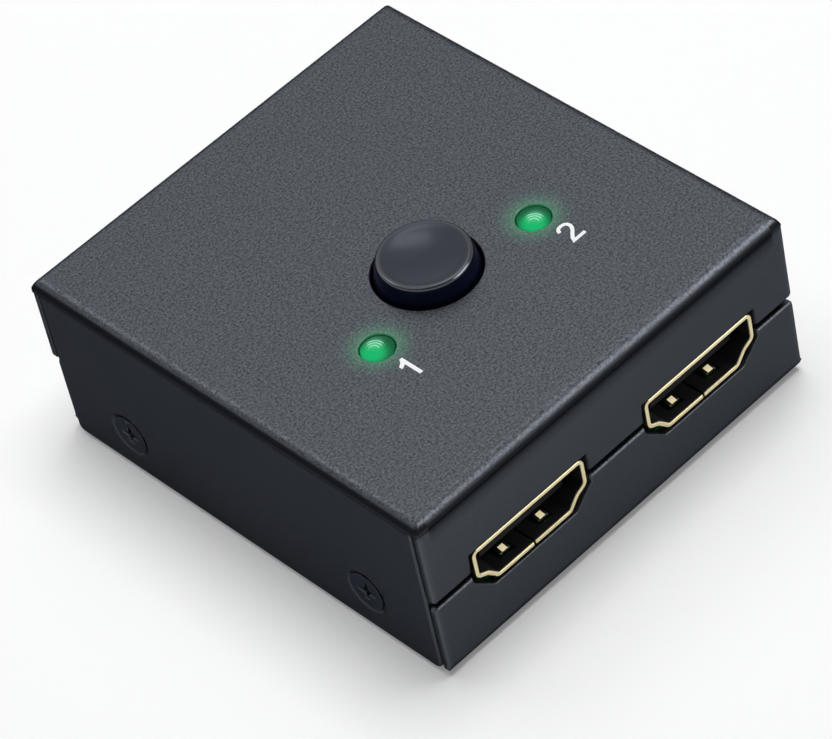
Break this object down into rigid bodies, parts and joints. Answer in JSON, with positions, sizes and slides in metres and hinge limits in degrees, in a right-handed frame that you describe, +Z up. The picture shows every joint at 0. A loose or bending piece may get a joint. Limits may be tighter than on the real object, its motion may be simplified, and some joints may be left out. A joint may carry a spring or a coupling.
{
  "type": "video switch box",
  "caption": "Small flat folded-steel switch box with a round latching push button, recessed green lamps, front video sockets and a shared rear socket.",
  "frame": {"origin": "middle of the box's underside", "axes": "+X to the right along the face with two sockets, +Y to the rear, where the shared socket is, +Z up"},
  "size_m": [0.0494, 0.0538, 0.0229],
  "materials": {
    "painted_steel": "satin black-grey coat with a fine grain",
    "black_steel": "black oxide",
    "plated_steel": "zinc plated",
    "board_green": "solder resist on glass-fibre laminate",
    "gold_plate": "pale gold plate on sheet metal",
    "contact_gold": "gold plate",
    "black_plastic": "moulded",
    "button_plastic": "satin top, glossy side",
    "white_plastic": "moulded",
    "tinned_brass": "tin plated",
    "green_lens": "diffused green epoxy, lit",
    "resistor_body": "glazed",
    "capacitor_body": "fired"
  },
  "bodies": {
    "case": {"top_cover": "painted_steel", "bottom_tray": "painted_steel", "side_screws": "black_steel", "board_standoffs": "plated_steel", "board_screws": "plated_steel", "circuit_board": "board_green", "port_1_shell": "gold_plate", "port_1_insulator": "black_plastic", "port_1_contacts": "contact_gold", "port_2_shell": "gold_plate", "port_2_insulator": "black_plastic", "port_2_contacts": "contact_gold", "common_port_shell": "gold_plate", "common_port_insulator": "black_plastic", "common_port_contacts": "contact_gold", "switch_housing": "black_plastic", "switch_base": "black_plastic", "switch_pins": "tinned_brass", "switch_latch_wire": "plated_steel", "switch_spring": "plated_steel", "lamp_1": "green_lens", "lamp_1_legs": "tinned_brass", "lamp_2": "green_lens", "lamp_2_legs": "tinned_brass", "routing_chip": "black_plastic", "routing_chip_leads": "tinned_brass", "resistors": "resistor_body", "capacitors": "capacitor_body", "supply_diodes": "black_plastic"},
    "button": {"button_cap": "button_plastic", "switch_plunger": "white_plastic", "switch_bridges": "contact_gold"}
  },
  "joints": [
    {"name": "button_press", "type": "slide", "parent": "case", "child": "button", "axis": [0, 0, -1], "range_m": [0, 0.0018], "stiffness_N_per_m": 300, "springref_m": -0.004, "deforming": ["switch_spring"]}
  ]
}
